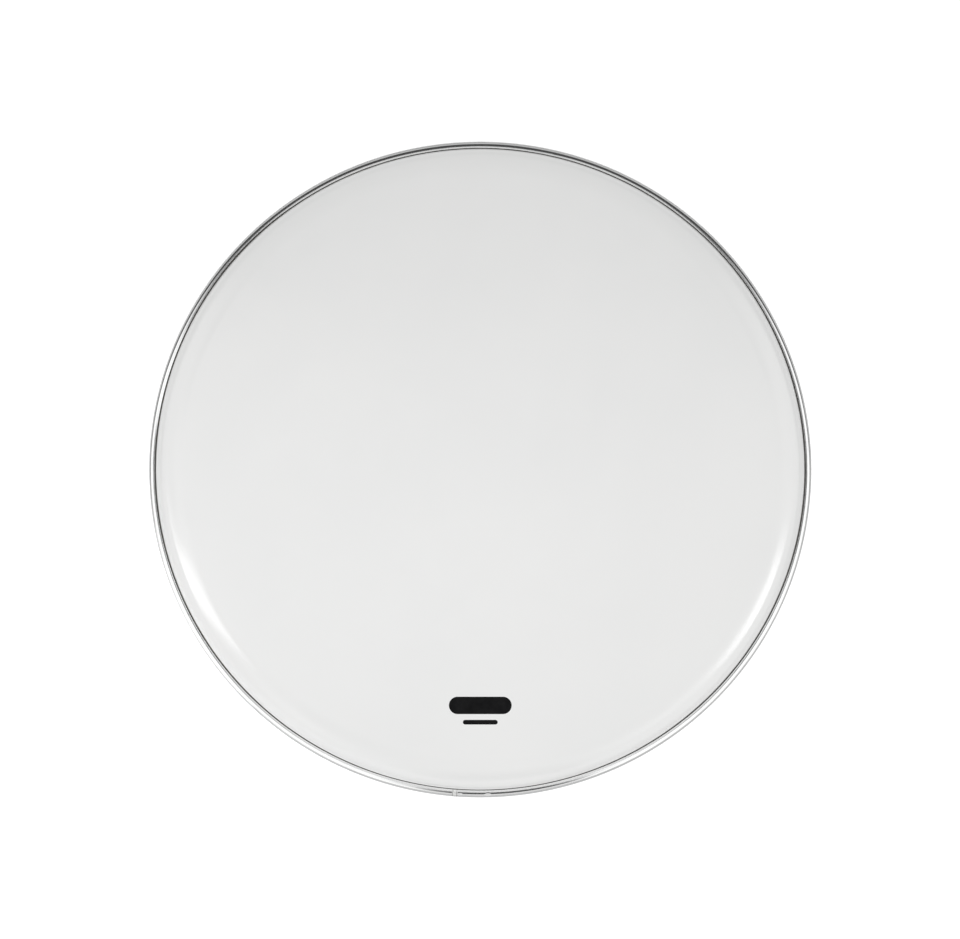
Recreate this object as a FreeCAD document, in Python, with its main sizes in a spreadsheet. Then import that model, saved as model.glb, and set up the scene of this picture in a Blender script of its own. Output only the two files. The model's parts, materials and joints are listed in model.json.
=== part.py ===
"""Bass drum head for a 22 inch shell: a formed white film potted with resin into a rolled metal hoop.

The head lies with its playing face up. +Z is the drum's axis and z = 0 is the hoop's underside.
All lengths are millimetres and all angles are degrees.
"""

import FreeCAD
import Part
import Sketcher
import math
import os

# Driving dimensions: alias, value, what it measures
SIZES = [
    ("shell_diameter", 558.8, "outside of the drum shell that the head fits"),
    ("shell_clearance", 1.2, "radial gap between the shell and the hoop"),
    ("hoop_wall", 0.9, "sheet thickness of the rolled hoop channel"),
    ("hoop_width", 8.2, "radial width of the hoop channel"),
    ("hoop_height", 8.5, "height of the hoop channel"),
    ("flange_width", 1.2, "width of the hoop's flat top flange, from its lip to the shoulder's bend"),
    ("foot_bend", 0.5, "inside bend radius of the two bends along the hoop's floor"),
    ("lip_round", 0.3, "rounding of the sheet edges at the hoop's mouth"),
    ("inner_wall_drop", 0.5, "how far the hoop's inner wall stops below its top flange"),
    ("skirt_gap", 0.5, "gap between the hoop's inner wall and the film's skirt"),
    ("lip_gap", 0.9, "gap between the film's skirt and the lip of the hoop's top flange"),
    ("weld_length", 4.0, "length of the butt weld along the hoop"),
    ("weld_proud", 0.12, "how far the dressed weld stands out of the hoop"),
    ("weld_bearing", 265.6, "direction of the weld round the drum axis, from +X"),
    ("film_thickness", 0.25, "thickness of the polyester film"),
    ("crown_radius", 60.0, "gentle bend at the edge of the flat playing face"),
    ("crown_angle", 15.0, "slope at which the gentle bend ends"),
    ("collar_radius", 12.0, "tighter bend from the crown into the collar"),
    ("collar_angle", 70.0, "slope of the collar's straight wall"),
    ("collar_wall", 3.2, "length of the collar's straight wall"),
    ("skirt_bend", 4.0, "bend from the collar's wall into the upright skirt"),
    ("skirt_floor_gap", 1.6, "gap between the skirt's lower edge and the hoop's floor"),
    ("anchor_hole", 2.5, "diameter of the holes punched through the skirt"),
    ("anchor_pairs", 12, "number of opposite pairs of punched holes round the skirt"),
    ("resin_below_wall", 0.3, "how far the resin stands below the top of the hoop's inner wall"),
    ("ring_thickness", 0.18, "film thickness of the overtone ring"),
    ("ring_width", 32.0, "radial width of the overtone ring"),
    ("ring_inset", 5.0, "gap between the overtone ring and the start of the crown"),
    ("adhesive_thickness", 0.05, "thickness of the adhesive above the overtone ring"),
    ("adhesive_margin", 1.0, "how far the adhesive stops short of both edges of the ring"),
    ("print_thickness", 0.03, "thickness of the printed ink"),
    ("print_inset", 46.0, "distance of the middle of the print's bar from the edge of the flat playing face"),
    ("bar_length", 54.0, "length of the print's bar"),
    ("bar_height", 15.0, "height of the print's bar"),
    ("line_length", 30.0, "length of the thin line below the print's bar"),
    ("line_height", 4.0, "height of the thin line below the print's bar"),
    ("line_gap", 5.0, "gap between the print's bar and the thin line"),
]

# Radii from the drum axis, as formulas on the sheet
BORE_RADIUS = "(sizes.shell_diameter / 2 + sizes.shell_clearance)"
RIM_RADIUS = f"({BORE_RADIUS} + sizes.hoop_width)"
WALL_OUTSIDE = f"({BORE_RADIUS} + sizes.hoop_wall)"
RIM_INSIDE = f"({RIM_RADIUS} - sizes.hoop_wall)"
SKIRT_OUTSIDE = f"({WALL_OUTSIDE} + sizes.skirt_gap + sizes.film_thickness)"
LIP_RADIUS = f"({SKIRT_OUTSIDE} + sizes.lip_gap)"
COLLAR_REACH = (
    "(sizes.crown_radius * sin(sizes.crown_angle)"
    " + sizes.collar_radius * (sin(sizes.collar_angle) - sin(sizes.crown_angle))"
    " + sizes.collar_wall * cos(sizes.collar_angle)"
    " + sizes.skirt_bend * (1 - sin(sizes.collar_angle)))"
)
FLAT_RADIUS = f"({SKIRT_OUTSIDE} - {COLLAR_REACH})"
RING_OUTSIDE = f"({FLAT_RADIUS} - sizes.ring_inset)"
RING_INSIDE = f"({RING_OUTSIDE} - sizes.ring_width)"
BAR_RADIUS = f"({FLAT_RADIUS} - sizes.print_inset)"
LINE_RADIUS = f"({BAR_RADIUS} + (sizes.bar_height + sizes.line_height) / 2 + sizes.line_gap)"

# Heights above the hoop's underside
INNER_WALL_TOP = "(sizes.hoop_height - sizes.inner_wall_drop)"
RESIN_TOP = f"({INNER_WALL_TOP} - sizes.resin_below_wall)"
FLANGE_UNDERSIDE = "(sizes.hoop_height - sizes.hoop_wall)"
SKIRT_FOOT = "(sizes.hoop_wall + sizes.skirt_floor_gap)"
ANCHOR_HEIGHT = f"(({SKIRT_FOOT} + {FLANGE_UNDERSIDE}) / 2)"
COLLAR_RISE = (
    "(sizes.crown_radius * (1 - cos(sizes.crown_angle))"
    " + sizes.collar_radius * (cos(sizes.crown_angle) - cos(sizes.collar_angle))"
    " + sizes.collar_wall * sin(sizes.collar_angle)"
    " + sizes.skirt_bend * cos(sizes.collar_angle))"
)
FILM_TOP = f"(sizes.hoop_height + {COLLAR_RISE})"
ADHESIVE_UNDERSIDE = f"({FILM_TOP} - sizes.film_thickness - sizes.adhesive_thickness)"
RING_UNDERSIDE = f"({ADHESIVE_UNDERSIDE} - sizes.ring_thickness)"

# Other formulas
SHOULDER_OUTSIDE = f"({RIM_RADIUS} - {LIP_RADIUS} - sizes.flange_width)"
SHOULDER_INSIDE = f"({SHOULDER_OUTSIDE} - sizes.hoop_wall)"
WELD_SWEEP = f"(sizes.weld_length / {RIM_RADIUS} * 180 / pi)"
EDGE_ROUND = "min(sizes.lip_round; sizes.hoop_wall * 0.45)"
HALF_WALL = "(sizes.hoop_wall / 2)"
FULL_TURN = "360"
HALF_TURN = "180"
NOTHING = "0"

# Numbers that stand for the sketch origin, its axes and the points of an edge
START, END, CENTRE = range(1, 4)
LEVEL_AXIS, UPRIGHT_AXIS = range(-1, -3, -1)
ORIGIN = (LEVEL_AXIS, START)

UPWARD = FreeCAD.Vector(0, 0, 1)
MATCH_TOLERANCE = 1e-4

doc = FreeCAD.newDocument("bass_drum_head")
sheet = doc.addObject("Spreadsheet::Sheet", "sizes")
for row, (alias, size, meaning) in enumerate(SIZES, start=1):
    sheet.set(f"A{row}", alias)
    sheet.set(f"B{row}", str(size))
    sheet.setAlias(f"B{row}", alias)
    sheet.set(f"C{row}", meaning)
doc.recompute()


def number(formula):
    """The present value of a formula on the sheet."""
    return float(sheet.evalExpression(formula))


def point(across, up):
    """A point of a sketch."""
    return FreeCAD.Vector(across, up, 0)


def origin_feature(body, role):
    """One of the body's own origin planes or axes."""
    return next(feature for feature in body.Origin.OriginFeatures if feature.Role == role)


def new_body(label):
    body = doc.addObject("PartDesign::Body", label)
    body.Label = label
    return body


def new_sketch(body, name, plane, height=NOTHING):
    """An empty sketch on one of the body's origin planes, lifted along the plane's normal."""
    sketch = body.newObject("Sketcher::SketchObject", name)
    sketch.AttachmentSupport = (origin_feature(body, plane), [""])
    sketch.MapMode = "FlatFace"
    if height != NOTHING:
        sketch.setExpression("AttachmentOffset.Base.z", height)
    return sketch


def dimension(sketch, formula, kind, *where):
    """Adds a driving dimension that follows a formula."""
    index = sketch.addConstraint(Sketcher.Constraint(kind, *where, number(formula)))
    sketch.setExpression(f"Constraints[{index}]", formula)


def relate(sketch, kind, *where):
    """Adds a constraint that has no size."""
    sketch.addConstraint(Sketcher.Constraint(kind, *where))


def place(sketch, edge, end, across, up):
    """Fixes one point of an edge at two distances from the sketch origin, both formulas."""
    for kind, formula, axis in (("DistanceX", across, UPRIGHT_AXIS), ("DistanceY", up, LEVEL_AXIS)):
        if formula == NOTHING:
            relate(sketch, "PointOnObject", edge, end, axis)
        else:
            dimension(sketch, formula, kind, *ORIGIN, edge, end)


def draw_polygon(sketch, corners):
    """A closed polygon whose corners are pairs of formulas."""
    points = [point(number(across), number(up)) for across, up in corners]
    following = [(i + 1) % len(points) for i in range(len(points))]
    for i, after in enumerate(following):
        sketch.addGeometry(Part.LineSegment(points[i], points[after]))
    for i, after in enumerate(following):
        relate(sketch, "Coincident", i, END, after, START)
    for i, (across, up) in enumerate(corners):
        place(sketch, i, START, across, up)


def draw_circle(sketch, radius, height=NOTHING):
    """A circle centred on the sketch's upright axis."""
    centre = point(0, number(height))
    edge = sketch.addGeometry(Part.Circle(centre, UPWARD, number(radius)))
    place(sketch, edge, CENTRE, NOTHING, height)
    dimension(sketch, radius, "Radius", edge)


def revolve(body, sketch, name, sweep):
    """Turns a section about the drum axis, half of the sweep to each side of its plane."""
    turned = body.newObject("PartDesign::Revolution", name)
    turned.Profile = sketch
    turned.ReferenceAxis = (sketch, ["V_Axis"])
    turned.Midplane = True
    turned.setExpression("Angle", sweep)
    doc.recompute()
    return turned


def pad(body, sketch, name, height):
    """Raises a flat sketch to a height."""
    raised = body.newObject("PartDesign::Pad", name)
    raised.Profile = sketch
    raised.setExpression("Length", height)
    doc.recompute()


def round_corners(body, base, name, radius, corners):
    """Fillets the circular edges that a turned section's (radius, height) corners run along."""
    wanted = [(number(across), number(up)) for across, up in corners]
    edges = []
    for i, edge in enumerate(base.Shape.Edges, start=1):
        if not isinstance(edge.Curve, Part.Circle):
            continue
        found = (edge.Curve.Radius, edge.Curve.Center.z)
        if any(math.dist(found, corner) < MATCH_TOLERANCE for corner in wanted):
            edges.append(f"Edge{i}")
    if len(edges) != len(corners):
        raise RuntimeError(f"{name}: {len(edges)} edges found for {len(corners)} corners")
    fillet = body.newObject("PartDesign::Fillet", name)
    fillet.Base = (base, edges)
    fillet.setExpression("Radius", radius)
    doc.recompute()
    return fillet


def face_bearing(body, bearing):
    """Turns a body about the drum axis."""
    body.Placement.Rotation = FreeCAD.Rotation(UPWARD, 0)
    body.setExpression("Placement.Rotation.Angle", bearing)


def make_channel(label, sweep, bearing, proud):
    """The hoop's folded section turned through a sweep, with its outer wall and top flange proud by a size."""
    rim = f"({RIM_RADIUS} + {proud})"
    top = f"(sizes.hoop_height + {proud})"
    bore_foot = (BORE_RADIUS, NOTHING)
    rim_foot = (rim, NOTHING)
    shoulder = (rim, top)
    lip_top = (LIP_RADIUS, top)
    lip_underside = (LIP_RADIUS, FLANGE_UNDERSIDE)
    shoulder_inside = (RIM_INSIDE, FLANGE_UNDERSIDE)
    rim_floor = (RIM_INSIDE, "sizes.hoop_wall")
    bore_floor = (WALL_OUTSIDE, "sizes.hoop_wall")
    wall_top_outside = (WALL_OUTSIDE, INNER_WALL_TOP)
    wall_top_inside = (BORE_RADIUS, INNER_WALL_TOP)

    body = new_body(label)
    section = new_sketch(body, f"{label}_section", "XZ_Plane")
    draw_polygon(section, [
        bore_foot, rim_foot, shoulder, lip_top, lip_underside, shoulder_inside,
        rim_floor, bore_floor, wall_top_outside, wall_top_inside,
    ])
    feature = revolve(body, section, f"{label}_turned", sweep)
    rounds = [
        ("shoulder", f"{SHOULDER_OUTSIDE} + {proud}", [shoulder]),
        ("shoulder_inside", SHOULDER_INSIDE, [shoulder_inside]),
        ("rim_foot", f"sizes.foot_bend + sizes.hoop_wall + {proud}", [rim_foot]),
        ("bore_foot", "sizes.foot_bend + sizes.hoop_wall", [bore_foot]),
        ("floor_corners", "sizes.foot_bend", [rim_floor, bore_floor]),
        ("sheet_edges", EDGE_ROUND, [lip_top, lip_underside, wall_top_outside, wall_top_inside]),
    ]
    for name, radius, corners in rounds:
        feature = round_corners(body, feature, f"{label}_{name}", radius, corners)
    face_bearing(body, bearing)
    return body


def make_hoop():
    """The rolled channel, open where its two ends meet at the weld."""
    sweep = f"{FULL_TURN} - {WELD_SWEEP}"
    return make_channel("hoop_channel", sweep, f"sizes.weld_bearing - {HALF_TURN}", NOTHING)


def make_weld():
    """The dressed butt weld that closes the channel."""
    return make_channel("hoop_weld", WELD_SWEEP, "sizes.weld_bearing", "sizes.weld_proud")


def outward(slope):
    """The direction square to the film where it slopes by an angle in radians."""
    return point(math.sin(slope), math.cos(slope))


def film_edges(depth):
    """The film's section as a chain of edges from the drum axis to the skirt's foot, at a depth in the film."""
    level = 0
    crown_slope = math.radians(number("sizes.crown_angle"))
    collar_slope = math.radians(number("sizes.collar_angle"))
    upright = math.pi / 2
    crown_radius = number("sizes.crown_radius")
    collar_radius = number("sizes.collar_radius")
    bend_radius = number("sizes.skirt_bend")
    down_the_wall = point(math.cos(collar_slope), -math.sin(collar_slope)) * number("sizes.collar_wall")

    face_edge = point(number(FLAT_RADIUS), number(FILM_TOP))
    crown_centre = face_edge - outward(level) * crown_radius
    collar_centre = crown_centre + outward(crown_slope) * (crown_radius - collar_radius)
    bend_centre = collar_centre + outward(collar_slope) * (collar_radius - bend_radius) + down_the_wall

    def bend(centre, radius, upper_slope, lower_slope):
        circle = Part.Circle(centre, UPWARD, radius - depth)
        return Part.ArcOfCircle(circle, upright - lower_slope, upright - upper_slope)

    crown = bend(crown_centre, crown_radius, level, crown_slope)
    collar = bend(collar_centre, collar_radius, crown_slope, collar_slope)
    skirt_bend = bend(bend_centre, bend_radius, collar_slope, upright)
    face = Part.LineSegment(point(0, crown.EndPoint.y), crown.EndPoint)
    wall = Part.LineSegment(collar.StartPoint, skirt_bend.EndPoint)
    skirt = Part.LineSegment(skirt_bend.StartPoint, point(skirt_bend.StartPoint.x, number(SKIRT_FOOT)))
    return [face, crown, collar, wall, skirt_bend, skirt]


def draw_film_section(sketch):
    """The film's outer side, its inner side one thickness within, and the two short edges that close them."""
    outer = sketch.addGeometry(film_edges(0))
    inner = sketch.addGeometry(film_edges(number("sizes.film_thickness")))
    for face, crown, collar, wall, skirt_bend, skirt in (outer, inner):
        relate(sketch, "Tangent", face, END, crown, END)
        relate(sketch, "Tangent", crown, START, collar, END)
        relate(sketch, "Tangent", collar, START, wall, START)
        relate(sketch, "Tangent", wall, END, skirt_bend, END)
        relate(sketch, "Tangent", skirt_bend, START, skirt, START)
        relate(sketch, "Horizontal", face)
        relate(sketch, "Vertical", skirt)

    face, crown, collar, wall, skirt_bend, skirt = outer
    relate(sketch, "PointOnObject", face, START, UPRIGHT_AXIS)
    place(sketch, skirt, END, SKIRT_OUTSIDE, SKIRT_FOOT)
    dimension(sketch, "sizes.hoop_height", "DistanceY", *ORIGIN, skirt, START)
    dimension(sketch, "sizes.crown_radius", "Radius", crown)
    dimension(sketch, "sizes.collar_radius", "Radius", collar)
    dimension(sketch, "sizes.skirt_bend", "Radius", skirt_bend)
    dimension(sketch, "sizes.collar_wall", "Distance", wall)
    turn = sketch.addConstraint(Sketcher.Constraint("Angle", crown, math.radians(number("sizes.crown_angle"))))
    sketch.setExpression(f"Constraints[{turn}]", "sizes.crown_angle")
    bend = "90 - sizes.collar_angle"
    turn = sketch.addConstraint(Sketcher.Constraint("Angle", skirt_bend, math.radians(number(bend))))
    sketch.setExpression(f"Constraints[{turn}]", bend)

    for outer_bend, inner_bend in ((outer[1], inner[1]), (outer[2], inner[2]), (outer[4], inner[4])):
        relate(sketch, "Coincident", outer_bend, CENTRE, inner_bend, CENTRE)
    relate(sketch, "Parallel", outer[3], inner[3])
    dimension(sketch, "sizes.crown_radius - sizes.film_thickness", "Radius", inner[1])

    for outer_edge, inner_edge, end, kind in (
        (outer[0], inner[0], START, "Vertical"),
        (outer[5], inner[5], END, "Horizontal"),
    ):
        near = sketch.getPoint(outer_edge, end)
        far = sketch.getPoint(inner_edge, end)
        cap = sketch.addGeometry(Part.LineSegment(near, far))
        relate(sketch, "Coincident", cap, START, outer_edge, end)
        relate(sketch, "Coincident", cap, END, inner_edge, end)
        relate(sketch, kind, cap)


def make_film():
    """The playing film: flat face, crown, collar and upright skirt, with anchor holes punched in the skirt."""
    body = new_body("batter_film")
    section = new_sketch(body, "film_section", "XZ_Plane")
    draw_film_section(section)
    turned = revolve(body, section, "film_turned", FULL_TURN)
    formed_volume = turned.Shape.Volume

    hole = new_sketch(body, "anchor_hole_outline", "XZ_Plane")
    draw_circle(hole, "sizes.anchor_hole / 2", ANCHOR_HEIGHT)
    punched = body.newObject("PartDesign::Pocket", "anchor_pair_punched")
    punched.Profile = hole
    punched.Type = "ThroughAll"
    punched.SideType = "Symmetric"
    doc.recompute()
    if punched.Shape.Volume >= formed_volume:
        raise RuntimeError("the anchor holes miss the skirt")

    holes = body.newObject("PartDesign::PolarPattern", "anchor_holes")
    holes.Originals = [punched]
    holes.Axis = (origin_feature(body, "Z_Axis"), [""])
    holes.Mode = "Spacing"
    holes.setExpression("Offset", f"{HALF_TURN} / sizes.anchor_pairs")
    holes.setExpression("Occurrences", "sizes.anchor_pairs")
    body.Tip = holes
    doc.recompute()
    if holes.Shape.Volume >= punched.Shape.Volume:
        raise RuntimeError("the anchor holes aren't repeated round the skirt")
    return body


def make_flat_ring(label, inside, outside, underside, thickness):
    """A flat ring round the drum axis."""
    body = new_body(label)
    outline = new_sketch(body, f"{label}_outline", "XY_Plane", underside)
    draw_circle(outline, inside)
    draw_circle(outline, outside)
    pad(body, outline, f"{label}_thickness", thickness)
    return body


def make_overtone_ring():
    """The damping ring of thinner film under the edge of the playing face."""
    return make_flat_ring("overtone_ring", RING_INSIDE, RING_OUTSIDE, RING_UNDERSIDE, "sizes.ring_thickness")


def make_adhesive():
    """The adhesive between the overtone ring and the film."""
    inside = f"{RING_INSIDE} + sizes.adhesive_margin"
    outside = f"{RING_OUTSIDE} - sizes.adhesive_margin"
    return make_flat_ring("ring_adhesive", inside, outside, ADHESIVE_UNDERSIDE, "sizes.adhesive_thickness")


def draw_bar(sketch, distance, length, height):
    """A bar with round ends, centred below the sketch origin at a distance."""
    half_run = f"(({length}) - ({height})) / 2"
    end_radius = f"({height}) / 2"
    run = number(half_run)
    radius = number(end_radius)
    middle = -number(distance)
    quarter = math.pi / 2
    right, top, left, bottom = sketch.addGeometry([
        Part.ArcOfCircle(Part.Circle(point(run, middle), UPWARD, radius), -quarter, quarter),
        Part.LineSegment(point(run, middle + radius), point(-run, middle + radius)),
        Part.ArcOfCircle(Part.Circle(point(-run, middle), UPWARD, radius), quarter, 3 * quarter),
        Part.LineSegment(point(-run, middle - radius), point(run, middle - radius)),
    ])
    for edge, after in ((right, top), (top, left), (left, bottom), (bottom, right)):
        relate(sketch, "Tangent", edge, END, after, START)
    relate(sketch, "Horizontal", top)
    dimension(sketch, end_radius, "Radius", right)
    dimension(sketch, half_run, "DistanceX", *ORIGIN, right, CENTRE)
    dimension(sketch, half_run, "DistanceX", left, CENTRE, *ORIGIN)
    for end in (right, left):
        dimension(sketch, distance, "DistanceY", end, CENTRE, *ORIGIN)


def make_print():
    """The printed mark: a plain bar over a thin line, in a layer of ink."""
    body = new_body("printed_mark")
    body.AllowCompound = True
    outline = new_sketch(body, "print_outline", "XY_Plane", FILM_TOP)
    draw_bar(outline, BAR_RADIUS, "sizes.bar_length", "sizes.bar_height")
    draw_bar(outline, LINE_RADIUS, "sizes.line_length", "sizes.line_height")
    pad(body, outline, "print_ink", "sizes.print_thickness")
    return body


def make_resin(hoop, weld, film):
    """The resin that fills the hoop round the skirt, and its pegs through the anchor holes."""
    inside = f"({BORE_RADIUS} + {HALF_WALL})"
    outside = f"({RIM_RADIUS} - {HALF_WALL})"
    bore_foot = (inside, HALF_WALL)
    rim_foot = (outside, HALF_WALL)
    shoulder = (outside, RESIN_TOP)
    bore_top = (inside, RESIN_TOP)
    pour = new_body("resin_pour")
    section = new_sketch(pour, "resin_section", "XZ_Plane")
    draw_polygon(section, [bore_foot, rim_foot, shoulder, bore_top])
    turned = revolve(pour, section, "resin_turned", FULL_TURN)
    foot = round_corners(pour, turned, "resin_foot", f"sizes.foot_bend + {HALF_WALL}", [bore_foot, rim_foot])
    round_corners(pour, foot, "resin_shoulder", f"{SHOULDER_INSIDE} + {HALF_WALL}", [shoulder])

    remainder = pour
    for neighbour in (hoop, weld, film):
        cut = doc.addObject("Part::Cut", f"resin_without_{neighbour.Label}")
        cut.Base = remainder
        cut.Tool = neighbour
        remainder = cut
    remainder.Label = "potting_resin"
    doc.recompute()
    return remainder


def check_and_write(pieces):
    """Writes each piece, once every object of the document has come out sound."""
    doc.recompute()
    for item in doc.Objects:
        if "Invalid" in item.State or "Error" in item.State:
            raise RuntimeError(f"{item.Label} failed: {item.State}")
    for piece in pieces:
        if piece.Shape.isNull() or not piece.Shape.isValid() or not piece.Shape.Solids:
            raise RuntimeError(f"{piece.Label} has no sound solid")
    os.makedirs("parts", exist_ok=True)
    for piece in pieces:
        piece.Shape.exportStep(f"parts/{piece.Label}.step")
        print(f"{piece.Label}: {len(piece.Shape.Solids)} solid(s), {piece.Shape.Volume:.1f} mm3")


hoop_channel = make_hoop()
hoop_weld = make_weld()
batter_film = make_film()
check_and_write([
    hoop_channel,
    hoop_weld,
    batter_film,
    make_overtone_ring(),
    make_adhesive(),
    make_print(),
    make_resin(hoop_channel, hoop_weld, batter_film),
])
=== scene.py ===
"""Bass drum head on a pale floor: a glossy white film in a rolled aluminium hoop, in studio light."""

import json
import math

import bpy
from mathutils import Matrix, Vector


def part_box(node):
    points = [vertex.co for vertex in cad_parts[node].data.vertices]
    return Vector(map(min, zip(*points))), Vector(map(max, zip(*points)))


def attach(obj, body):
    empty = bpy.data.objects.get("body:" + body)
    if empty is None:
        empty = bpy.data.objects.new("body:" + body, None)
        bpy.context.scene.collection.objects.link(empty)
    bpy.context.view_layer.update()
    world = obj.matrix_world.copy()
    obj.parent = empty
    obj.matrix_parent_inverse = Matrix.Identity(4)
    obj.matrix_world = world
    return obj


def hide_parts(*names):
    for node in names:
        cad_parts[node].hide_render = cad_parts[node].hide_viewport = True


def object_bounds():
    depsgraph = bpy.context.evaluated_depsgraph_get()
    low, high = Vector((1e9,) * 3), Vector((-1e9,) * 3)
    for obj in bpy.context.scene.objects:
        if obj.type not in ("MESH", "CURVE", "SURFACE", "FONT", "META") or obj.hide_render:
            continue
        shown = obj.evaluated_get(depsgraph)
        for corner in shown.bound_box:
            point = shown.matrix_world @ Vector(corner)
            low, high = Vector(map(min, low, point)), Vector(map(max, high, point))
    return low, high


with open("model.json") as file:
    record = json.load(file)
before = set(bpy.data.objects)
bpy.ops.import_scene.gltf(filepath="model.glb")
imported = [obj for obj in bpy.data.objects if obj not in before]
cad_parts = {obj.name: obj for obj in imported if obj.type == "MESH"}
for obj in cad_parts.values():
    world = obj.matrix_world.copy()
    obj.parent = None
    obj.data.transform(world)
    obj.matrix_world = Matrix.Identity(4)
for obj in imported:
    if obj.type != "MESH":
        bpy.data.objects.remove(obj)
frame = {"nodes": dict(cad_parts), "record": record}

CAD_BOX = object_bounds()
MM = 0.001
FULL_TURN = 2 * math.pi

# Sizes of the hoop, in metres, as the CAD model has them. Its rim reaches the nearest side of the box
MOUNTS = {mount["name"]: mount for mount in frame["record"]["mounts"]}
BORE_RADIUS = MOUNTS["shell_bore"]["dims"]["r_mm"] * MM
RIM_RADIUS = min(abs(corner[axis]) for corner in CAD_BOX for axis in (0, 1))
HOOP_HEIGHT = MOUNTS["counterhoop_seat"]["pos_m"][2]
HOOP_WALL = 0.9 * MM
FOOT_BEND = 0.5 * MM
LIP_ROUND = 0.3 * MM
INNER_WALL_DROP = 0.5 * MM
SKIRT_GAP = 0.5 * MM
LIP_GAP = 0.9 * MM
FLANGE_WIDTH = 1.2 * MM
WELD_LENGTH = 4.0 * MM
WELD_PROUD = 0.12 * MM
WELD_BEARING = math.radians(265.6)
RESIN_BELOW_WALL = 0.3 * MM

# Sizes of the film, the overtone ring and the adhesive, as the CAD model has them
FILM_THICKNESS = 0.25 * MM
CROWN_RADIUS = 60 * MM
CROWN_ANGLE = math.radians(15)
COLLAR_RADIUS = 12 * MM
COLLAR_ANGLE = math.radians(70)
COLLAR_WALL = 3.2 * MM
SKIRT_BEND = 4 * MM
SKIRT_FLOOR_GAP = 1.6 * MM
RING_THICKNESS = 0.18 * MM
RING_WIDTH = 32 * MM
RING_INSET = 5 * MM
ADHESIVE_THICKNESS = 0.05 * MM
ADHESIVE_MARGIN = 1 * MM

# What follows from them
WALL_OUTSIDE = BORE_RADIUS + HOOP_WALL
RIM_INSIDE = RIM_RADIUS - HOOP_WALL
SKIRT_INSIDE = WALL_OUTSIDE + SKIRT_GAP
SKIRT_OUTSIDE = SKIRT_INSIDE + FILM_THICKNESS
SKIRT_FOOT = HOOP_WALL + SKIRT_FLOOR_GAP
LIP_RADIUS = SKIRT_OUTSIDE + LIP_GAP
FLANGE_OUTSIDE = LIP_RADIUS + FLANGE_WIDTH
SHOULDER_OUTSIDE = RIM_RADIUS - LIP_RADIUS - FLANGE_WIDTH
SHOULDER_INSIDE = SHOULDER_OUTSIDE - HOOP_WALL
FLANGE_UNDERSIDE = HOOP_HEIGHT - HOOP_WALL
INNER_WALL_TOP = HOOP_HEIGHT - INNER_WALL_DROP
RESIN_TOP = INNER_WALL_TOP - RESIN_BELOW_WALL
FILM_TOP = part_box("batter_film")[1].z
FILM_UNDERSIDE = FILM_TOP - FILM_THICKNESS
WELD_HALF = WELD_LENGTH / 2 / RIM_RADIUS
WELD_START = WELD_BEARING - WELD_HALF
WELD_END = WELD_BEARING + WELD_HALF

# How finely the pieces are divided
TURN_STEPS = 480
CORNER_STEPS = 14
FACE_STEPS = 40
BEND_STEPS = 24
WALL_STEPS = 4
SKIRT_BEND_STEPS = 6
COARSE_STEP = FULL_TURN / TURN_STEPS
FINE_STEP = FULL_TURN / 9000
WELD_STEP = FULL_TURN / 12000
FINE_REACH = math.radians(1.2)

# The angle between two faces from which their edge is sharp
SHARP_EDGE = math.radians(50)

# Room between pieces that touch, and the tolerance for telling faces of a section apart
CLEARANCE = 0.01 * MM


def outward(slope):
    """The direction square to the film where it slopes down by an angle."""
    return Vector((math.sin(slope), math.cos(slope)))


def arc(centre, radius, first, last, steps):
    """Points of a bend, from one slope to another, without the first."""
    slopes = [first + (last - first) * i / steps for i in range(1, steps + 1)]
    return [centre + outward(slope) * radius for slope in slopes]


def run(start, end, steps):
    """Points of a straight run, without the first."""
    return [start.lerp(end, i / steps) for i in range(1, steps + 1)]


def film_path(depth):
    """The film's section from the drum axis to the skirt's foot, at a depth in the film."""
    down_the_wall = Vector((math.cos(COLLAR_ANGLE), -math.sin(COLLAR_ANGLE))) * COLLAR_WALL
    bend_centre = Vector((SKIRT_OUTSIDE - SKIRT_BEND, HOOP_HEIGHT))
    collar_centre = bend_centre - outward(COLLAR_ANGLE) * (COLLAR_RADIUS - SKIRT_BEND)
    collar_centre -= down_the_wall
    crown_centre = collar_centre - outward(CROWN_ANGLE) * (CROWN_RADIUS - COLLAR_RADIUS)
    face_middle = Vector((0, FILM_TOP - depth))
    face_edge = Vector((crown_centre.x, FILM_TOP - depth))
    wall_end = bend_centre + outward(COLLAR_ANGLE) * (SKIRT_BEND - depth)
    skirt_end = Vector((SKIRT_OUTSIDE - depth, SKIRT_FOOT))
    upright = math.pi / 2

    path = [face_middle]
    path += run(face_middle, face_edge, FACE_STEPS)
    path += arc(crown_centre, CROWN_RADIUS - depth, 0, CROWN_ANGLE, BEND_STEPS)
    path += arc(collar_centre, COLLAR_RADIUS - depth, CROWN_ANGLE, COLLAR_ANGLE, BEND_STEPS)
    path += run(path[-1], wall_end, WALL_STEPS)
    path += arc(bend_centre, SKIRT_BEND - depth, COLLAR_ANGLE, upright, SKIRT_BEND_STEPS)
    path += run(path[-1], skirt_end, WALL_STEPS)
    return path


def rounded(corners):
    """A closed section from its (radius, height, rounding) corners, with each corner rounded."""
    section = []
    points = [Vector((across, up)) for across, up, rounding in corners]
    for i, (across, up, rounding) in enumerate(corners):
        corner = points[i]
        if not rounding:
            section.append(corner)
            continue
        back = (points[i - 1] - corner).normalized()
        on = (points[(i + 1) % len(points)] - corner).normalized()
        half = back.angle(on) / 2
        centre = corner + (back + on).normalized() * (rounding / math.sin(half))
        first = (corner + back * (rounding / math.tan(half)) - centre).normalized()
        last = (corner + on * (rounding / math.tan(half)) - centre).normalized()
        turns = [first.slerp(last, step / CORNER_STEPS) for step in range(CORNER_STEPS + 1)]
        section += [centre + direction * rounding for direction in turns]
    return section


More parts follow.
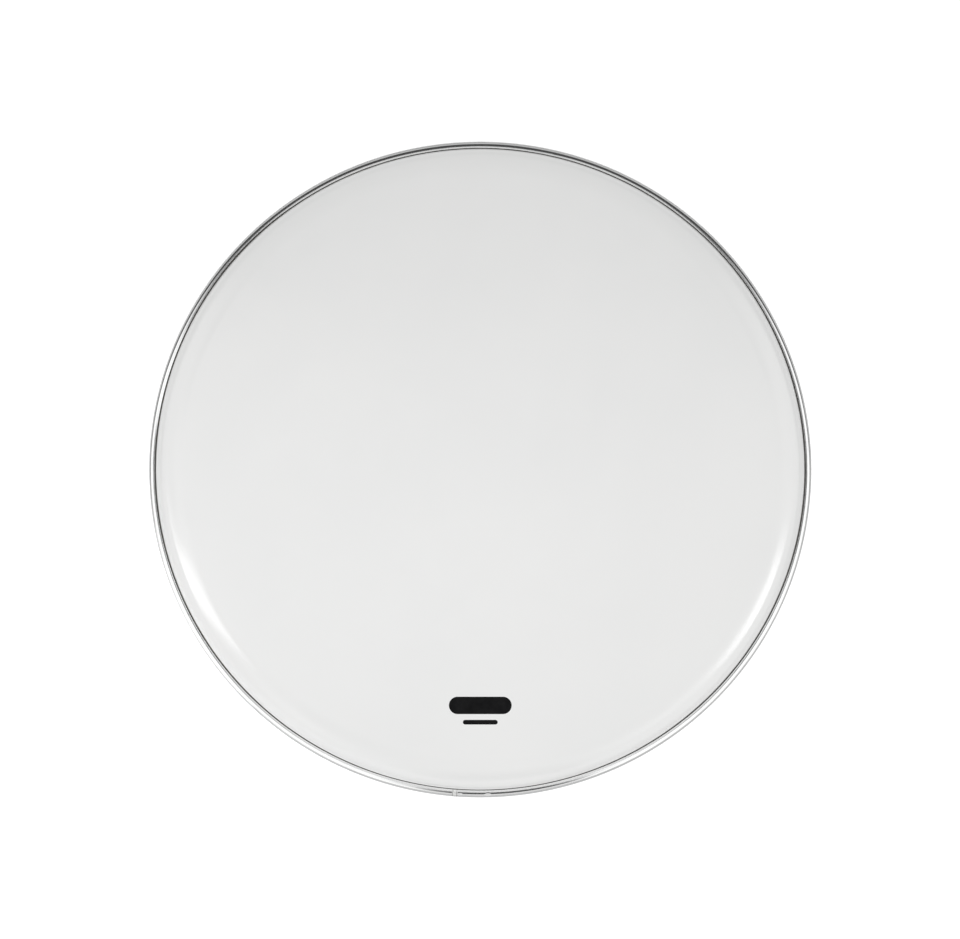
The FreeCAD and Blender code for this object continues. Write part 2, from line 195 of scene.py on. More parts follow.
def even_bearings():
    """Directions all round the drum axis, evenly spaced."""
    return [FULL_TURN * i / TURN_STEPS for i in range(TURN_STEPS)]


def graded_bearings(first, last, spots, fine, coarse):
    """Directions from one to another, closer together near each of some spots."""
    bearings = []
    bearing = first
    while bearing < last - fine / 2:
        bearings.append(bearing)
        near = min(abs(bearing - spot) for spot in spots) < FINE_REACH
        bearing += fine if near else coarse
    return bearings + [last]


def turn(name, section, bearings, whole=True, form=None):
    """A solid mesh from a closed section of (radius, height) points, turned through the bearings.

    The section runs anticlockwise. form may move a point: it takes a radius, a height and a
    bearing, and gives a radius and a height. The UV map is in metres, along the rim and the section."""
    lengths = [0]
    for before, after in zip(section, section[1:]):
        lengths.append(lengths[-1] + (after - before).length)
    round_length = lengths[-1] + (section[0] - section[-1]).length
    vertices = []
    rows = []
    for across, up in section:
        row = []
        for bearing in bearings:
            if across == 0 and row:
                row.append(row[0])
                continue
            radius, height = form(across, up, bearing) if form else (across, up)
            row.append(len(vertices))
            vertices.append((radius * math.cos(bearing), radius * math.sin(bearing), height))
        rows.append(row)

    faces = []
    corners_uv = []
    steps = len(bearings) if whole else len(bearings) - 1
    for i, row in enumerate(rows):
        after_row = rows[(i + 1) % len(rows)]
        if row[0] == row[-1] and after_row[0] == after_row[-1]:
            continue
        here = lengths[i]
        there = lengths[i + 1] if i + 1 < len(rows) else round_length
        for j in range(steps):
            k = (j + 1) % len(bearings)
            near = bearings[j] * RIM_RADIUS
            far = (bearings[k] if k else bearings[0] + FULL_TURN) * RIM_RADIUS
            loop = [
                (row[j], near, here),
                (row[k], far, here),
                (after_row[k], far, there),
                (after_row[j], near, there),
            ]
            face = []
            for corner in loop:
                if corner[0] not in [kept[0] for kept in face]:
                    face.append(corner)
            faces.append([corner[0] for corner in face])
            corners_uv += [corner[1:] for corner in face]
    if not whole:
        for j, order in ((0, 1), (-1, -1)):
            faces.append([row[j] for row in rows][::order])
            corners_uv += [(0, length) for length in lengths]

    mesh = bpy.data.meshes.new(name)
    mesh.from_pydata(vertices, [], faces)
    layer = mesh.uv_layers.new(name="UVMap")
    layer.data.foreach_set("uv", [number for corner in corners_uv for number in corner])
    mesh.shade_smooth()
    mesh.set_sharp_from_angle(angle=SHARP_EDGE)
    mesh.validate()
    piece = bpy.data.objects.new(name, mesh)
    bpy.context.scene.collection.objects.link(piece)
    return piece


def finish_piece(piece, node, material):
    """Puts a piece in the place of a CAD node, with its material."""
    piece.data.materials.append(material)
    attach(piece, "root")
    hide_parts(node)


# Colours: each pair is the two tones that a material's pattern goes between
FILM_TONES = ((0.845, 0.848, 0.843), (0.868, 0.869, 0.862))
HOOP_TONES = ((0.82, 0.825, 0.825), (0.9, 0.9, 0.895))
WELD_TONES = ((0.8, 0.8, 0.79), (0.92, 0.92, 0.91))
# The weld's seam tone is part soot and part painted shade of the grooves beside the bead
SEAM_SOOT_AND_SHADE_TONE = (0.08, 0.076, 0.072)
# The resin's tones are darkened to paint the shade in the gap at the hoop's mouth
RESIN_TONES_WITH_PAINTED_SHADE = ((0.03, 0.028, 0.025), (0.075, 0.07, 0.062))
RING_TONES = ((0.76, 0.77, 0.775), (0.81, 0.82, 0.82))
ADHESIVE_TONES = ((0.78, 0.76, 0.7), (0.85, 0.84, 0.79))
INK_TONES = ((0.004, 0.004, 0.0045), (0.01, 0.01, 0.0105))

# Other values of the materials
PATTERN_LOW = 0.3
PATTERN_HIGH = 0.7
FILM_IOR = 1.64
INK_SPECULAR = 0.06
# The width of each weld seam, which is partly painted groove shade, and the faintest share of its
# darkness
WELD_SEAM = 0.8 * MM
SEAM_FAINTEST = 0.3


def new_material(name):
    """A material, with its node tree and its main shader."""
    material = bpy.data.materials.new(name)
    material.use_nodes = True
    tree = material.node_tree
    return material, tree, tree.nodes["Principled BSDF"]


def noise(tree, output, scale=1, detail=3, stretch=(1, 1, 1)):
    """A noise pattern on one kind of texture coordinate, drawn out along some axes."""
    place = tree.nodes.new("ShaderNodeTexCoord")
    mapping = tree.nodes.new("ShaderNodeMapping")
    mapping.inputs["Scale"].default_value = stretch
    pattern = tree.nodes.new("ShaderNodeTexNoise")
    pattern.inputs["Scale"].default_value = scale
    pattern.inputs["Detail"].default_value = detail
    tree.links.new(place.outputs[output], mapping.inputs["Vector"])
    tree.links.new(mapping.outputs["Vector"], pattern.inputs["Vector"])
    return pattern.outputs["Fac"]


def between(tree, pattern, low, high):
    """A number that follows a pattern from one value to another."""
    spread = tree.nodes.new("ShaderNodeMapRange")
    spread.inputs["From Min"].default_value = PATTERN_LOW
    spread.inputs["From Max"].default_value = PATTERN_HIGH
    spread.inputs["To Min"].default_value = low
    spread.inputs["To Max"].default_value = high
    tree.links.new(pattern, spread.inputs["Value"])
    return spread.outputs["Result"]


def two_tones(tree, pattern, tones):
    """A colour that follows a pattern from one tone to another."""
    ramp = tree.nodes.new("ShaderNodeValToRGB")
    low, high = ramp.color_ramp.elements
    low.position = PATTERN_LOW
    high.position = PATTERN_HIGH
    low.color = (*tones[0], 1)
    high.color = (*tones[1], 1)
    tree.links.new(pattern, ramp.inputs["Fac"])
    return ramp.outputs["Color"]


def colour(tree, shader, pattern, tones):
    """Gives a shader a colour that follows a pattern."""
    tree.links.new(two_tones(tree, pattern, tones), shader.inputs["Base Color"])


def roughen(tree, shader, pattern, low, high):
    """Gives a shader a roughness that follows a pattern."""
    tree.links.new(between(tree, pattern, low, high), shader.inputs["Roughness"])


def relief(tree, shader, pattern, distance, strength):
    """Gives a shader fine relief that follows a pattern."""
    bump = tree.nodes.new("ShaderNodeBump")
    bump.inputs["Distance"].default_value = distance
    bump.inputs["Strength"].default_value = strength
    tree.links.new(pattern, bump.inputs["Height"])
    tree.links.new(bump.outputs["Normal"], shader.inputs["Normal"])


def calculate(tree, operation, *values):
    """The result of a calculation with numbers and outputs of other nodes."""
    node = tree.nodes.new("ShaderNodeMath")
    node.operation = operation
    for socket, value in zip(node.inputs, values):
        if isinstance(value, bpy.types.NodeSocket):
            tree.links.new(value, socket)
        else:
            socket.default_value = value
    return node.outputs["Value"]


def ease(tree, value, low, high, first, last):
    """A number that goes smoothly from first to last while a value goes from low to high."""
    step = tree.nodes.new("ShaderNodeMapRange")
    step.interpolation_type = "SMOOTHSTEP"
    step.inputs["From Min"].default_value = low
    step.inputs["From Max"].default_value = high
    step.inputs["To Min"].default_value = first
    step.inputs["To Max"].default_value = last
    tree.links.new(value, step.inputs["Value"])
    return step.outputs["Result"]


def film_material():
    """Gloss white coated polyester with a faint cloud in its coating."""
    material, tree, shader = new_material("gloss_white_film")
    clouds = noise(tree, "Object", scale=7)
    smears = noise(tree, "Object", scale=34, detail=4)
    grain = noise(tree, "Object", scale=1400, detail=2)
    colour(tree, shader, clouds, FILM_TONES)
    roughen(tree, shader, smears, low=0.15, high=0.2)
    relief(tree, shader, grain, distance=0.01 * MM, strength=0.1)
    shader.inputs["IOR"].default_value = FILM_IOR
    return material


def hoop_material():
    """Rolled aluminium with fine lines along its length."""
    material, tree, shader = new_material("rolled_aluminium")
    lines = noise(tree, "UV", stretch=(25, 5200, 1))
    patches = noise(tree, "UV", detail=4, stretch=(45, 160, 1))
    colour(tree, shader, patches, HOOP_TONES)
    roughen(tree, shader, lines, low=0.11, high=0.18)
    relief(tree, shader, lines, distance=0.01 * MM, strength=0.12)
    shader.inputs["Metallic"].default_value = 1
    return material


def weld_material():
    """Ground weld metal, with file marks across the hoop and a dark seam along each side, part soot and
    part painted shade of a groove there.
    """
    material, tree, shader = new_material("ground_weld")
    marks = noise(tree, "UV", detail=4, stretch=(3200, 260, 1))
    metal = two_tones(tree, marks, WELD_TONES)
    place = tree.nodes.new("ShaderNodeTexCoord")
    parts = tree.nodes.new("ShaderNodeSeparateXYZ")
    tree.links.new(place.outputs["UV"], parts.inputs["Vector"])
    along = calculate(tree, "SUBTRACT", parts.outputs["X"], WELD_BEARING * RIM_RADIUS)
    aside = calculate(tree, "ABSOLUTE", along)
    side = WELD_LENGTH / 2
    # The seams: a dark band at each side of the weld, part soot and part painted shade of a groove
    dark = ease(tree, aside, side - WELD_SEAM, side, 0, 1)
    uneven = between(tree, noise(tree, "UV", stretch=(500, 420, 1)), SEAM_FAINTEST, 1)
    seam = tree.nodes.new("ShaderNodeMix")
    seam.data_type = "RGBA"
    tree.links.new(calculate(tree, "MULTIPLY", dark, uneven), seam.inputs["Factor"])
    tree.links.new(metal, seam.inputs["A"])
    seam.inputs["B"].default_value = (*SEAM_SOOT_AND_SHADE_TONE, 1)
    tree.links.new(seam.outputs["Result"], shader.inputs["Base Color"])
    roughen(tree, shader, marks, low=0.22, high=0.42)
    relief(tree, shader, marks, distance=0.03 * MM, strength=0.5)
    shader.inputs["Metallic"].default_value = 1
    return material


def resin_material():
    """Cast epoxy with small bubbles and dust, its colour darkened to paint the shade in the gap at the
    hoop's mouth.
    """
    material, tree, shader = new_material("resin_with_painted_gap_shade")
    dust = noise(tree, "Object", scale=900, detail=4)
    colour(tree, shader, dust, RESIN_TONES_WITH_PAINTED_SHADE)
    roughen(tree, shader, dust, low=0.35, high=0.6)
    relief(tree, shader, dust, distance=0.05 * MM, strength=0.4)
    return material


def ring_material():
    """Thin satin film of the overtone ring."""
    material, tree, shader = new_material("overtone_film")
    clouds = noise(tree, "Object", scale=18)
    grain = noise(tree, "Object", scale=1100, detail=2)
    colour(tree, shader, clouds, RING_TONES)
    roughen(tree, shader, clouds, low=0.24, high=0.34)
    relief(tree, shader, grain, distance=0.02 * MM, strength=0.2)
    return material


def adhesive_material():
    """Pale adhesive, slightly yellow and uneven."""
    material, tree, shader = new_material("pale_adhesive")
    blots = noise(tree, "Object", scale=240, detail=4)
    colour(tree, shader, blots, ADHESIVE_TONES)
    roughen(tree, shader, blots, low=0.45, high=0.65)
    return material


def ink_material():
    """Screen-printed black ink with a fine mesh texture."""
    material, tree, shader = new_material("screen_ink")
    clouds = noise(tree, "Object", scale=160, detail=4)
    grain = noise(tree, "Object", scale=2600, detail=2)
    colour(tree, shader, clouds, INK_TONES)
    roughen(tree, shader, clouds, low=0.34, high=0.48)
    relief(tree, shader, grain, distance=0.02 * MM, strength=0.3)
    shader.inputs["Specular IOR Level"].default_value = INK_SPECULAR
    return material


def swell(offset):
    """A smooth hump that is 1 in the middle and 0 from 1 away."""
    return math.cos(offset * math.pi / 2) ** 2 if abs(offset) < 1 else 0


def below_peak(bearing, waves):
    """The height of waves round the drum axis, from the most they can reach, so never above 0.

    Each wave has its height, how often it goes up and down in a turn, and its phase."""
    return sum(height * (math.sin(count * bearing + phase) - 1) for height, count, phase in waves)


# The film: faint puckers along its edge, and at the front its foot is nearer to the hoop's lip
RIPPLE_INSIDE = 236 * MM
RIPPLE_OUTSIDE = 281 * MM
RIPPLES = (
    (0.05 * MM, 5, 0.6),
    (0.035 * MM, 9, 2.1),
    (0.02 * MM, 14, 4.0),
    (0.012 * MM, 23, 1.3),
)
BULGE_BEARING = math.radians(265)
BULGE_REACH = math.radians(52)
BULGE_HEIGHT = RESIN_TOP + 1.2 * MM
BULGE_RISE = 1.15 * MM
BULGE_DEPTH = 0.4 * MM


def ripple(radius, bearing):
    """How far the film's edge stands off its even shape. The skirt stays even."""
    if not RIPPLE_INSIDE < radius < RIPPLE_OUTSIDE:
        return 0
    along = (radius - RIPPLE_INSIDE) / (RIPPLE_OUTSIDE - RIPPLE_INSIDE)
    return math.sin(math.pi * along) ** 2 * below_peak(bearing, RIPPLES)


def follow_ripple(radius, height, bearing):
    """A point of a piece that is glued to the film, moved as the film's ripples are."""
    return radius, height + ripple(radius, bearing)


def film_form(radius, height, bearing):
    """A point of the film, with its ripples and with its foot pushed outwards at the front."""
    along = swell((bearing - BULGE_BEARING) / BULGE_REACH)
    upright = swell((height - BULGE_HEIGHT) / BULGE_RISE)
    return radius + BULGE_DEPTH * along * upright, height + ripple(radius, bearing)


film_outside = film_path(0)
film_section = film_path(FILM_THICKNESS) + film_outside[::-1]
film = turn("film", film_section, even_bearings(), form=film_form)
finish_piece(film, "batter_film", film_material())

# The overtone ring and its adhesive, under the edge of the film's flat face
RING_OUTSIDE = film_outside[FACE_STEPS].x - RING_INSET
RING_INSIDE = RING_OUTSIDE - RING_WIDTH
ADHESIVE_UNDERSIDE = FILM_UNDERSIDE - ADHESIVE_THICKNESS
RING_UNDERSIDE = ADHESIVE_UNDERSIDE - RING_THICKNESS
RING_EDGE = 0.04 * MM
ADHESIVE_EDGE = 0.01 * MM


def flat_ring(name, inside, outside, underside, top, edge_round):
    """A thin flat ring under the film, with its edges eased."""
    section = rounded([
        (inside, underside, edge_round),
        (outside, underside, edge_round),
        (outside, top, edge_round),
        (inside, top, edge_round),
    ])
    return turn(name, section, even_bearings(), form=follow_ripple)


overtone_ring = flat_ring(
    "overtone_ring_film",
    RING_INSIDE,
    RING_OUTSIDE,
    RING_UNDERSIDE,
    ADHESIVE_UNDERSIDE,
    RING_EDGE,
)
finish_piece(overtone_ring, "overtone_ring", ring_material())
adhesive = flat_ring(
    "adhesive_layer",
    RING_INSIDE + ADHESIVE_MARGIN,
    RING_OUTSIDE - ADHESIVE_MARGIN,
    ADHESIVE_UNDERSIDE,
    FILM_UNDERSIDE,
    ADHESIVE_EDGE,
)
finish_piece(adhesive, "ring_adhesive", adhesive_material())

# The rolled hoop
HOOP_SECTION = rounded([
    (BORE_RADIUS, 0, FOOT_BEND + HOOP_WALL),
    (RIM_RADIUS, 0, FOOT_BEND + HOOP_WALL),
    (RIM_RADIUS, HOOP_HEIGHT, SHOULDER_OUTSIDE),
    (LIP_RADIUS, HOOP_HEIGHT, LIP_ROUND),
    (LIP_RADIUS, FLANGE_UNDERSIDE, LIP_ROUND),
    (RIM_INSIDE, FLANGE_UNDERSIDE, SHOULDER_INSIDE),
    (RIM_INSIDE, HOOP_WALL, FOOT_BEND),
    (WALL_OUTSIDE, HOOP_WALL, FOOT_BEND),
    (WALL_OUTSIDE, INNER_WALL_TOP, LIP_ROUND),
    (BORE_RADIUS, INNER_WALL_TOP, LIP_ROUND),
])
SHOULDER_MIDDLE = Vector((RIM_RADIUS - SHOULDER_OUTSIDE, HOOP_HEIGHT - SHOULDER_OUTSIDE))
FLANGE_LEAN = math.tan(math.radians(4.3))
HOOP_WAVES = (
    (0.03 * MM, 7, 0.4),
    (0.02 * MM, 16, 2.2),
)
END_EASE = 0.5 * MM / RIM_RADIUS
END_DROP = 0.1 * MM
LIP_OVAL = 0.4 * MM

# Each bend of the lip has its bearing, its reach, and how far the lip goes outwards and upwards
LIP_BENDS = (
    (math.radians(137), math.radians(17), 0.45 * MM, 0),
    (math.radians(164), math.radians(14), -0.15 * MM, 0.22 * MM),
)

# Each knock has its bearing, half its length and its depth, and all flatten the shoulder at one slant
KNOCKS = (
    (math.radians(271.3), 5.4 * MM, 0.38 * MM),
    (math.radians(266.35), 5.5 * MM, 0.28 * MM),
)
KNOCK_FACING = outward(math.radians(34))


def knocked(radius, height, bearing):
    """A point of the shoulder after the knocks that flattened it."""
    depth = 0
    for place, half_length, deepest in KNOCKS:
        depth += deepest * swell((bearing % FULL_TURN - place) * RIM_RADIUS / half_length)
    point = Vector((radius, height))
    proud = (point - SHOULDER_MIDDLE).dot(KNOCK_FACING) - (SHOULDER_OUTSIDE - depth)
    return point - KNOCK_FACING * max(0, proud) if depth else point


def hoop_form(radius, height, bearing):
    """A point of the hoop, with the unevenness of its flange and shoulder.

    The lip is oval and bent in places, the flange leans outwards, slow waves run along the hoop,
    its ends are eased at the weld, and knocks flatten its shoulder."""
    if radius < LIP_RADIUS - CLEARANCE or height <= FLANGE_UNDERSIDE - SHOULDER_OUTSIDE:
        return radius, height
    if height > FLANGE_UNDERSIDE - CLEARANCE and radius < FLANGE_OUTSIDE:
        shift = LIP_OVAL * (1 + math.cos(2 * bearing)) / 2
        rise = 0
        for place, reach, outwards, upwards in LIP_BENDS:
            bend = swell((bearing % FULL_TURN - place) / reach)
            shift += outwards * bend
            rise += upwards * bend
        inner = (FLANGE_OUTSIDE - radius) / FLANGE_WIDTH
        radius += shift * inner
        height += rise * inner
    share = min(1, max(0, (radius - LIP_RADIUS) / (RIM_RADIUS - LIP_RADIUS)))
    drop = FLANGE_LEAN * min(max(0, radius - LIP_RADIUS), FLANGE_WIDTH)
    drop -= below_peak(bearing, HOOP_WAVES) * share
    end = (abs(bearing % FULL_TURN - WELD_BEARING) - WELD_HALF) / END_EASE
    if end < 1:
        drop += END_DROP * (1 - end) ** 2
    return knocked(radius - drop * share, height - drop, bearing)


hoop_last = WELD_START + FULL_TURN
hoop_spots = [WELD_END, hoop_last] + [knock[0] for knock in KNOCKS]
hoop_bearings = graded_bearings(WELD_END, hoop_last, hoop_spots, FINE_STEP, COARSE_STEP)
hoop = turn("hoop", HOOP_SECTION, hoop_bearings, whole=False, form=hoop_form)
finish_piece(hoop, "hoop_channel", hoop_material())

# The weld's slanting grinding marks: their share of the bead's height, and how fast they follow each
# other along the hoop, in radians for half the weld, and across it, in radians for a metre
MARK_SHARE = 0.25
MARK_ALONG = 9
MARK_ACROSS = 900


def weld_form(radius, height, bearing):
    """A point of the dressed bead, which is a little proud of the hoop along its middle."""
    offset = (bearing - WELD_BEARING) / WELD_HALF
    mark = 1 - MARK_SHARE + MARK_SHARE * math.sin(MARK_ALONG * offset + radius * MARK_ACROSS)
    bead = WELD_PROUD * (1 - offset ** 2) * mark
    outer = min(1, max(0, (radius - LIP_RADIUS) / FLANGE_WIDTH))
    upper = (height - FLANGE_UNDERSIDE + SHOULDER_OUTSIDE) / SHOULDER_OUTSIDE
    upper = min(1, max(0, upper))
    return radius + bead * outer * (1 - upper), height + bead * outer * upper


weld_bearings = graded_bearings(WELD_START, WELD_END, [WELD_BEARING], WELD_STEP, WELD_STEP)
weld = turn("weld_bead", HOOP_SECTION, weld_bearings, whole=False, form=weld_form)
finish_piece(weld, "hoop_weld", weld_material())

# The resin that fills the hoop round the skirt, and creeps up the skirt a little
MENISCUS = 0.2 * MM
resin_section = rounded([
    (WALL_OUTSIDE + CLEARANCE, HOOP_WALL + CLEARANCE, FOOT_BEND),
    (RIM_INSIDE - CLEARANCE, HOOP_WALL + CLEARANCE, FOOT_BEND),
    (RIM_INSIDE - CLEARANCE, FLANGE_UNDERSIDE - CLEARANCE, SHOULDER_INSIDE),
    (LIP_RADIUS, FLANGE_UNDERSIDE - CLEARANCE, 0),
    (SKIRT_OUTSIDE + MENISCUS, RESIN_TOP - MENISCUS / 2, 0),
    (SKIRT_OUTSIDE + CLEARANCE, RESIN_TOP, 0),
    (SKIRT_OUTSIDE + CLEARANCE, SKIRT_FOOT - CLEARANCE, 0),
    (SKIRT_INSIDE - CLEARANCE, SKIRT_FOOT - CLEARANCE, 0),
    (SKIRT_INSIDE - CLEARANCE, RESIN_TOP, 0),
    (WALL_OUTSIDE + CLEARANCE, RESIN_TOP, 0),
])
resin = turn("resin_fill", resin_section, even_bearings())
finish_piece(resin, "potting_resin", resin_material())

# The print keeps its CAD shape
printed_mark = frame["nodes"]["printed_mark"]
printed_mark.data.materials.clear()
printed_mark.data.materials.append(ink_material())

# The camera: far above, and a little towards the front
CAMERA_TILT = math.radians(9.03)
CAMERA_HEADING = math.radians(-0.63)
CAMERA_DISTANCE = 4.0
CAMERA_LENS = 172.45
CAMERA_SENSOR = 36.0
CAMERA_AIM = Vector((-0.23 * MM, -3.9 * MM, 11 * MM))
backward = Vector((
    math.sin(CAMERA_HEADING) * math.sin(CAMERA_TILT),
    -math.cos(CAMERA_HEADING) * math.sin(CAMERA_TILT),
    math.cos(CAMERA_TILT),
))
rightward = Vector((0, 1, 0)).cross(backward).normalized()
upward = backward.cross(rightward)
camera = bpy.data.objects.new("camera", bpy.data.cameras.new("camera"))
camera.data.lens = CAMERA_LENS
camera.data.sensor_width = CAMERA_SENSOR
turned = Matrix((rightward, upward, backward)).transposed().to_4x4()
camera.matrix_world = Matrix.Translation(CAMERA_AIM + backward * CAMERA_DISTANCE) @ turned
bpy.context.scene.collection.objects.link(camera)
bpy.context.scene.camera = camera

# Light: sizes and places are in metres
MIDDLE = (0, 0, 0)
PANEL_HEIGHT = 3.3
CARD_PLACE = Vector((-0.2746, -0.146, 0.0085))
CARD_AIM = Vector((-0.1236, -0.0657, 0.4783))
FLOOR_LAMP_STRENGTH = 10.1
FLOOR_LAMP_ANGLE = math.radians(15)
FLOOR_LAMP_FROM = Vector((0, -0.92, 2.2))
FLOOR_POOL_PLACE = (-0.335, -0.218, 0.2)
FLOOR_POOL_AIM = (-0.25, -0.165, 0)


def softbox(name, place, aim, across, along, radiance):
    """A soft rectangular lamp that faces a point, as bright as a surface of the given radiance.

    Its first size is level, and its second runs up its slope."""
    lamp = bpy.data.lights.new(name, "AREA")
    lamp.shape = "RECTANGLE"
    lamp.size = across
    lamp.size_y = along
    lamp.energy = radiance * math.pi * across * along
    box = bpy.data.objects.new(name, lamp)
    away = Vector(place) - Vector(aim)
    facing = away.to_track_quat("Z", "Y").to_matrix().to_4x4()
    box.matrix_world = Matrix.Translation(place) @ facing
    box.visible_camera = False
    bpy.context.scene.collection.objects.link(box)
    return box


def panel(name, x, y, across, along, radiance, height=PANEL_HEIGHT):
    """A soft lamp overhead that faces straight down."""
    return softbox(name, (x, y, height), (x, y, 0), across, along, radiance)


# The film mirrors three broad panels overhead, the brightest at the back left, and two dim ones below
# them that add a glow at the left. Two flashes make its bright crescents, and a small lamp makes the
# tail of the left one. The hoop mirrors three narrower panels, with a dark gap before the last, a
# small lamp at each side, and a low card outside it at the left.
film_lamps = [
    panel("film_front", 0, -0.575, 2.72, 1.45, 0.85),
    panel("film_left", -0.58, 0.45, 1.56, 0.6, 1.42),
    panel("film_right", 0.78, 0.45, 1.16, 0.6, 0.95),
    panel("lower_left", -0.5, 0.25, 1.0, 0.4, 0.25, height=3.25),
    panel("left_glow", -0.7, 0.2, 0.6, 0.5, 0.4, height=3.2),
    softbox("left_tail", (-1.08, 0.022, 1.25), MIDDLE, 0.22, 0.14, 2.5),
]
hoop_lamps = [
    panel("hoop_front", 0, -0.6, 1.7, 1.4, 0.75),
    panel("hoop_middle", -0.06, 0.46, 1.2, 0.72, 1.3),
    panel("hoop_back", -0.05, 1.5, 1.6, 0.6, 0.7),
    softbox("hoop_left", (-0.428, 0.068, 1.56), MIDDLE, 0.2, 0.31, 0.8),
    softbox("hoop_right", (0.432, 0.023, 1.56), MIDDLE, 0.17, 0.31, 0.7),
    softbox("hoop_low_left", CARD_PLACE, CARD_AIM, 0.2, 0.036, 0.36),
]
film_lamps += [
    softbox("left_flash", (-0.832, -0.143, 1.38), MIDDLE, 0.225, 0.62, 5.0),
    softbox("right_flash", (0.95, -0.24, 1.38), MIDDLE, 0.42, 0.42, 4.5),
]

# A fill at the front lights everything and shows in no reflection
front_fill = softbox("front_fill", (-0.12, -1.02, 0.75), MIDDLE, 0.8, 0.5, 0.85)
front_fill.visible_glossy = False

# The floor's own lamps: one that casts the shadow, and a pool of light beside the hoop at the left
sun = bpy.data.lights.new("floor_lamp", "SUN")
sun.energy = FLOOR_LAMP_STRENGTH
sun.angle = FLOOR_LAMP_ANGLE
floor_lamp = bpy.data.objects.new("floor_lamp", sun)
floor_lamp.matrix_world = FLOOR_LAMP_FROM.to_track_quat("Z", "Y").to_matrix().to_4x4()
bpy.context.scene.collection.objects.link(floor_lamp)
floor_pool = softbox("floor_pool", FLOOR_POOL_PLACE, FLOOR_POOL_AIM, 0.2, 0.2, 9)

# The room as reflections show it: its dark parts are the back, which spreads low down, a patch at the
# front that is darkest high up, and the ceiling
BACK_RISE = 0.62
BACK_LEVEL = 0.15
BACK_EDGE = 0.1
PATCH_SPREAD = 0.32
PATCH_LEAN = 0.085
PATCH_EDGE = 0.1
PATCH_LOW = 0.48
PATCH_HIGH = 0.58
PATCH_FOOT = 0.4
CEILING_LOW = 0.92
CEILING_HIGH = 0.97
PALE_WALL = 1.2
DARK_WALL = 0.07
SOFT_FILL = 0.584
WHITE = 1


def background(tree, strength):
    """A white background of a strength."""
    shader = tree.nodes.new("ShaderNodeBackground")
    shader.inputs["Color"].default_value = (1, 1, 1, 1)
    if isinstance(strength, bpy.types.NodeSocket):
        tree.links.new(strength, shader.inputs["Strength"])
    else:
        shader.inputs["Strength"].default_value = strength
    return shader.outputs["Background"]


def choose(tree, switch, otherwise, chosen):
    """One shader where a switch is on, and another elsewhere."""
    mix = tree.nodes.new("ShaderNodeMixShader")
    tree.links.new(switch, mix.inputs["Fac"])
    tree.links.new(otherwise, mix.inputs[1])
    tree.links.new(chosen, mix.inputs[2])
    return mix.outputs["Shader"]


def room_darkness(tree):
    """How dark the room is in a direction, from 0 at the pale walls to 1."""
    direction = tree.nodes.new("ShaderNodeTexCoord")
    parts = tree.nodes.new("ShaderNodeSeparateXYZ")
    tree.links.new(direction.outputs["Generated"], parts.inputs["Vector"])
    across = parts.outputs["X"]
    forward = parts.outputs["Y"]
    up = parts.outputs["Z"]

    aside = calculate(tree, "ABSOLUTE", across)
    low_down = calculate(tree, "MULTIPLY", aside, calculate(tree, "SUBTRACT", BACK_LEVEL, up))
    back = calculate(tree, "MULTIPLY_ADD", forward, BACK_RISE, low_down)
    back = ease(tree, back, -BACK_EDGE, BACK_EDGE, 0, 1)

    offset = calculate(tree, "MULTIPLY_ADD", forward, PATCH_LEAN, across)
    offset = calculate(tree, "ABSOLUTE", offset)
    patch = calculate(tree, "MULTIPLY_ADD", forward, PATCH_SPREAD, offset)
    patch = ease(tree, patch, -PATCH_EDGE, PATCH_EDGE, 1, 0)
    high_up = ease(tree, up, PATCH_LOW, PATCH_HIGH, PATCH_FOOT, 1)
    patch = calculate(tree, "MULTIPLY", patch, high_up)

    ceiling = ease(tree, up, CEILING_LOW, CEILING_HIGH, 0, 1)
    return calculate(tree, "MAXIMUM", calculate(tree, "MAXIMUM", back, patch), ceiling)


def studio():
    """An even soft fill, the room in reflections, and white where the camera looks past the floor."""
    world = bpy.data.worlds.new("studio")
    world.use_nodes = True
    world.cycles.sampling_method = "NONE"
    tree = world.node_tree
    tree.nodes.remove(tree.nodes["Background"])
    walls = background(tree, ease(tree, room_darkness(tree), 0, 1, PALE_WALL, DARK_WALL))
    fill = background(tree, SOFT_FILL)
    white = background(tree, WHITE)
    rays = tree.nodes.new("ShaderNodeLightPath")
    lit = choose(tree, rays.outputs["Is Glossy Ray"], fill, walls)
    shown = choose(tree, rays.outputs["Is Camera Ray"], lit, white)
    tree.links.new(shown, tree.nodes["World Output"].inputs["Surface"])
    return world


bpy.context.scene.world = studio()

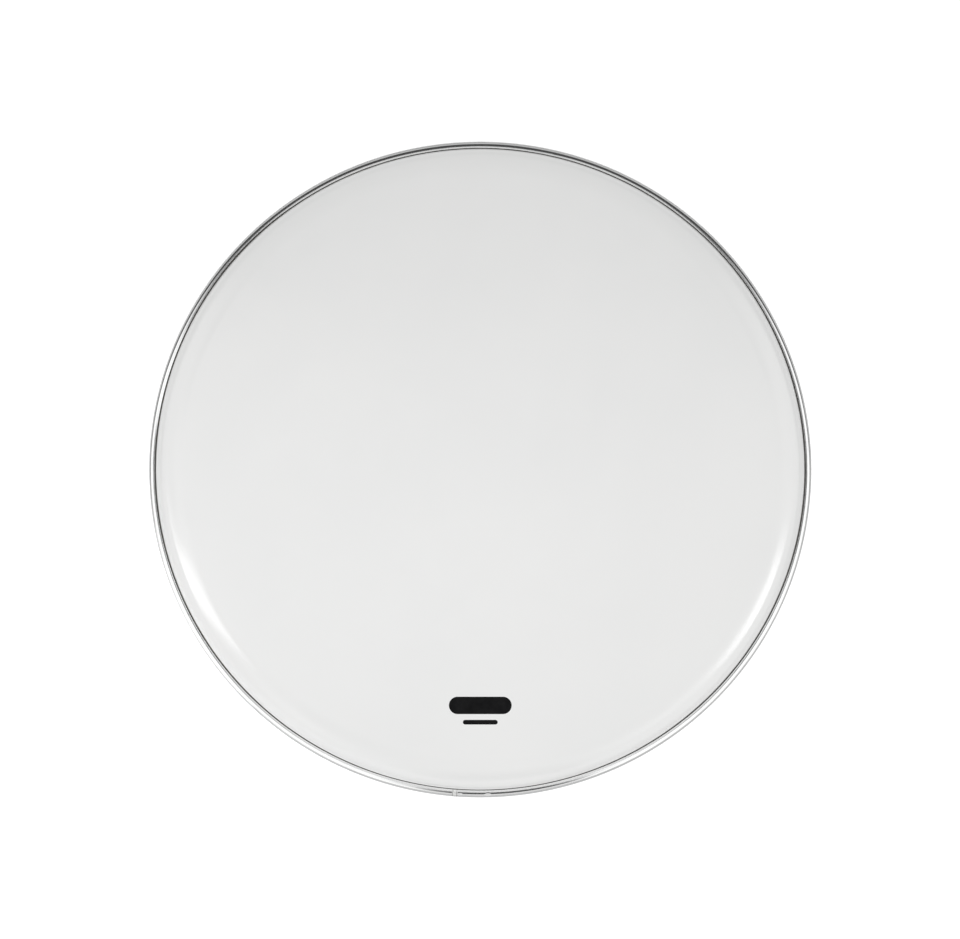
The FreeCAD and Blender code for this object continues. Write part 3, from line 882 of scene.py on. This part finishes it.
# The floor: grey paper under lamps of its own, which make it white and leave the object's shadow
FLOOR_HALF = 12.0
FLOOR_DROP = 0.1 * MM
FLOOR_GLOW = 0.15
FLOOR_TONE = 0.3
FLOOR_TONE_MIRRORED = 0.12


def floor_material():
    """Paper that glows a little where it is seen, and is darker in reflections."""
    material = bpy.data.materials.new("pale_floor")
    material.use_nodes = True
    material.cycles.emission_sampling = "NONE"
    tree = material.node_tree
    tree.nodes.remove(tree.nodes["Principled BSDF"])
    paper = tree.nodes.new("ShaderNodeBsdfDiffuse")
    rays = tree.nodes.new("ShaderNodeLightPath")
    mirrored = rays.outputs["Is Glossy Ray"]
    tone = ease(tree, mirrored, 0, 1, FLOOR_TONE, FLOOR_TONE_MIRRORED)
    tree.links.new(tone, paper.inputs["Color"])
    seen = calculate(tree, "MAXIMUM", rays.outputs["Is Camera Ray"], mirrored)
    seen = calculate(tree, "MAXIMUM", seen, rays.outputs["Is Transmission Ray"])
    glow = tree.nodes.new("ShaderNodeEmission")
    tree.links.new(calculate(tree, "MULTIPLY", seen, FLOOR_GLOW), glow.inputs["Strength"])
    both = tree.nodes.new("ShaderNodeAddShader")
    tree.links.new(paper.outputs["BSDF"], both.inputs[0])
    tree.links.new(glow.outputs["Emission"], both.inputs[1])
    tree.links.new(both.outputs["Shader"], tree.nodes["Material Output"].inputs["Surface"])
    return material


floor_mesh = bpy.data.meshes.new("floor")
sides = (-FLOOR_HALF, FLOOR_HALF)
floor_mesh.from_pydata([(x, y, -FLOOR_DROP) for x in sides for y in sides], [], [(0, 2, 3, 1)])
floor_mesh.materials.append(floor_material())
floor = bpy.data.objects.new("floor", floor_mesh)
bpy.context.scene.collection.objects.link(floor)


# Which lamps light what
def light_only(name, lamps, lit_pieces):
    """Makes some lamps light only some pieces."""
    group = bpy.data.collections.new(name)
    for piece in lit_pieces:
        group.objects.link(piece)
    for lamp in lamps:
        lamp.light_linking.receiver_collection = group


light_only("floor_group", [floor_lamp, floor_pool], [floor])
light_only("film_group", film_lamps, [film, overtone_ring, adhesive, resin, printed_mark])
light_only("hoop_group", hoop_lamps, [hoop, weld])

bpy.context.scene.view_settings.view_transform = "Standard"
